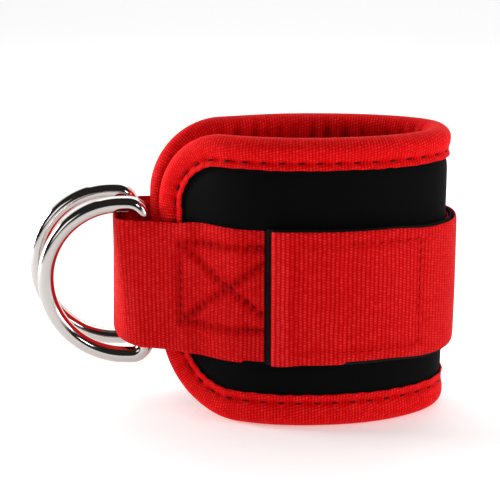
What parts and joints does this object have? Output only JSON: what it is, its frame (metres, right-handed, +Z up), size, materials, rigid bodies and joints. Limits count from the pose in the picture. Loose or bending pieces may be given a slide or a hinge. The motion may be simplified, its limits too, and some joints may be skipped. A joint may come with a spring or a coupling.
{
  "type": "padded ankle cuff",
  "caption": "Padded ankle cuff for a cable machine: a bound neoprene band bent into a loop, with swinging steel D-rings and a webbing strap that closes on hook-and-loop tape.",
  "frame": {"origin": "centre of the footprint, on the floor that the lower binding stands on", "axes": "+Z up the ankle; +X from the D-rings to the closed end of the loop; the strap's tail is on the -Y side"},
  "size_m": [0.1644, 0.071, 0.1075],
  "materials": {
    "neoprene": "matte foam rubber faced with plain knit",
    "lining": "matte knit lining",
    "foam": "soft closed-cell foam",
    "binding": "fine ribbed polyester binding tape",
    "thread": "sunken polyester thread",
    "webbing": "ribbed polyester webbing with a light sheen",
    "loop_tape": "fuzzy loop pile",
    "hook_tape": "dense nylon hooks",
    "ring_steel": "bright nickel-plated steel wire"
  },
  "bodies": {
    "cuff": {"outer_panel": "neoprene", "foam_core": "foam", "inner_lining": "lining", "edge_binding": "binding", "outer_binding_stitch": "thread", "inner_binding_stitch": "thread", "main_webbing": "webbing", "loop_tape": "loop_tape", "closure_strap": "webbing", "wrap_hook_tape": "hook_tape", "front_box_stitch": "thread", "rear_box_stitch": "thread"},
    "tail": {"strap_tail": "webbing", "tail_hook_tape": "hook_tape", "tail_stitch": "thread"},
    "front_ring": {"front_d_ring": "ring_steel"},
    "rear_ring": {"rear_d_ring": "ring_steel"}
  },
  "joints": [
    {"name": "tail_peel", "type": "hinge", "parent": "cuff", "child": "tail", "pos_m": [0.06947, -0.02092, 0.05031], "axis": [0, 0, 1], "range_deg": [0, 120]},
    {"name": "front_ring_swing", "type": "hinge", "parent": "cuff", "child": "front_ring", "pos_m": [-0.03637, -0.00494, 0.04941], "axis": [0, 0, 1], "range_deg": [-10, 95]},
    {"name": "rear_ring_swing", "type": "hinge", "parent": "cuff", "child": "rear_ring", "pos_m": [-0.04229, 0.0157, 0.05001], "axis": [0, 0, 1], "range_deg": [-135, 10]}
  ]
}
